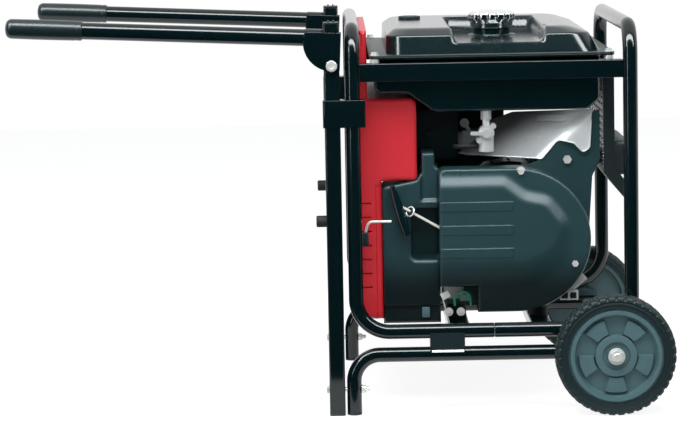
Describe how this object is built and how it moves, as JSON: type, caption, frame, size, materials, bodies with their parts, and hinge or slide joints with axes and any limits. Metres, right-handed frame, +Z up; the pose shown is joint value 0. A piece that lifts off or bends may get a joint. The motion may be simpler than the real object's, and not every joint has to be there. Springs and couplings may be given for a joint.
{
  "type": "portable generator",
  "caption": "Petrol generator in a tube frame on two wheels, with folding carry handles, fuel tank on top, recoil starter, muffler and a red control panel housing.",
  "frame": {"origin": "on the floor, midway between the grip ends and the far edge of the tyres, and midway between the sides", "axes": "+Z up, +X from the handles to the wheels, +Y to the left of someone holding the handles"},
  "size_m": [1.2526, 0.8, 0.7664],
  "materials": {
    "frame_paint": "gloss black",
    "zinc": "zinc plated",
    "grip_rubber": "smooth black",
    "black_plastic": "moulded black",
    "tyre_rubber": "treaded black",
    "rim_plastic": "moulded grey",
    "tank_paint": "gloss black",
    "cap_chrome": "polished",
    "gauge_face": "clear lens on a white dial",
    "valve_metal": "cast",
    "shroud_plastic": "moulded dark grey",
    "engine_metal": "cast, dark",
    "steel": "machined",
    "rotor_iron": "laminated",
    "shield_metal": "bright sheet",
    "red_plastic": "moulded red",
    "panel_grey": "moulded dark grey",
    "rope_fibre": "braided pale cord",
    "soft_rubber": "moulded black",
    "muffler_paint": "heat-proof dark",
    "wire_green": "green and yellow insulation"
  },
  "bodies": {
    "frame": {"front_hoop": "frame_paint", "rear_hoop": "frame_paint", "base_crossbars": "frame_paint", "tank_rails": "frame_paint", "handle_posts": "frame_paint", "post_clamps": "frame_paint", "post_bumpers": "soft_rubber", "leg_tubes": "frame_paint", "tube_caps": "black_plastic", "saddle_blocks": "black_plastic", "saddle_plates": "zinc", "frame_fasteners": "zinc", "axle": "zinc", "tank_upper": "tank_paint", "tank_lower": "tank_paint", "fuel_gauge": "gauge_face", "fuel_valve": "valve_metal", "fuel_hose": "soft_rubber", "blower_shroud": "shroud_plastic", "rope_guide": "steel", "engine_block": "engine_metal", "cylinder_head": "engine_metal", "spark_plug": "steel", "alternator_stator": "engine_metal", "alternator_end_cover": "engine_metal", "rubber_mounts": "soft_rubber", "blower_housing": "shroud_plastic", "heat_shield": "shield_metal", "lower_cover": "shroud_plastic", "cover_bolts": "zinc", "air_cleaner": "black_plastic", "carburettor": "valve_metal", "muffler": "muffler_paint", "muffler_guard": "steel", "panel_housing": "red_plastic", "panel_face": "panel_grey", "panel_sockets": "black_plastic", "ground_wire": "wire_green"},
    "handle_right": {"handle_tube_right": "frame_paint", "handle_grip_right": "grip_rubber", "handle_bracket_right": "frame_paint"},
    "handle_left": {"handle_tube_left": "frame_paint", "handle_grip_left": "grip_rubber", "handle_bracket_left": "frame_paint"},
    "wheel_right": {"wheel_rim_right": "rim_plastic", "tyre_right": "tyre_rubber"},
    "wheel_left": {"wheel_rim_left": "rim_plastic", "tyre_left": "tyre_rubber"},
    "crank": {"crankshaft": "steel", "flywheel_fan": "engine_metal", "alternator_rotor": "rotor_iron"},
    "recoil_pull": {"recoil_grip": "grip_rubber", "recoil_rope": "rope_fibre"},
    "reel": {"recoil_reel": "black_plastic"},
    "cap": {"fuel_cap": "cap_chrome"},
    "valve_lever": {"fuel_valve_lever": "valve_metal"},
    "choke": {"choke_lever": "valve_metal"},
    "switch": {"engine_switch": "black_plastic"},
    "breaker": {"main_breaker": "black_plastic"},
    "dipstick": {"oil_dipstick": "black_plastic"}
  },
  "joints": [
    {"name": "handle_right_fold", "type": "hinge", "parent": "frame", "child": "handle_right", "pos_m": [-0.01413, -0.315, 0.667], "axis": [0, -1, 0], "range_deg": [0, 92.8]},
    {"name": "handle_left_fold", "type": "hinge", "parent": "frame", "child": "handle_left", "pos_m": [-0.01413, 0.315, 0.667], "axis": [0, -1, 0], "range_deg": [0, 92.8]},
    {"name": "wheel_right_spin", "type": "hinge", "parent": "frame", "child": "wheel_right", "pos_m": [0.51226, -0.36, 0.114], "axis": [0, 1, 0], "continuous": true},
    {"name": "wheel_left_spin", "type": "hinge", "parent": "frame", "child": "wheel_left", "pos_m": [0.51226, 0.36, 0.114], "axis": [0, 1, 0], "continuous": true},
    {"name": "crank_spin", "type": "hinge", "parent": "frame", "child": "crank", "pos_m": [0.33376, 0, 0.347], "axis": [0, 1, 0], "continuous": true},
    {"name": "recoil_pull", "type": "slide", "parent": "frame", "child": "recoil_pull", "axis": [-0.866, 0, 0.5], "range_m": [0, 0.24], "stiffness_N_per_m": 40, "springref_m": -0.3},
    {"name": "recoil_reel_turn", "type": "hinge", "parent": "frame", "child": "reel", "pos_m": [0.33376, -0.278, 0.347], "axis": [0, 1, 0], "range_deg": [-5, 200]},
    {"name": "fuel_cap_turn", "type": "hinge", "parent": "frame", "child": "cap", "pos_m": [0.30477, 0, 0.73], "axis": [0, 0, 1], "range_deg": [0, 90]},
    {"name": "fuel_valve_turn", "type": "hinge", "parent": "frame", "child": "valve_lever", "pos_m": [0.27847, -0.274, 0.53], "axis": [0, -1, 0], "range_deg": [0, 90]},
    {"name": "choke_turn", "type": "hinge", "parent": "frame", "child": "choke", "pos_m": [0.26177, -0.11, 0.508], "axis": [0, 1, 0], "range_deg": [0, 60]},
    {"name": "engine_switch_rock", "type": "hinge", "parent": "frame", "child": "switch", "pos_m": [0.01977, 0.215, 0.59], "axis": [0, 1, 0], "range_deg": [0, 14]},
    {"name": "main_breaker_rock", "type": "hinge", "parent": "frame", "child": "breaker", "pos_m": [0.01977, 0.15, 0.59], "axis": [0, 1, 0], "range_deg": [0, 14]},
    {"name": "oil_dipstick_turn", "type": "hinge", "parent": "frame", "child": "dipstick", "pos_m": [0.22626, -0.15, 0.257], "axis": [1, 0, 0], "range_deg": [0, 720]}
  ],
  "couplings": [
    {"joint": "recoil_reel_turn", "follows": "recoil_pull", "rad_per_m": 14.286}
  ]
}
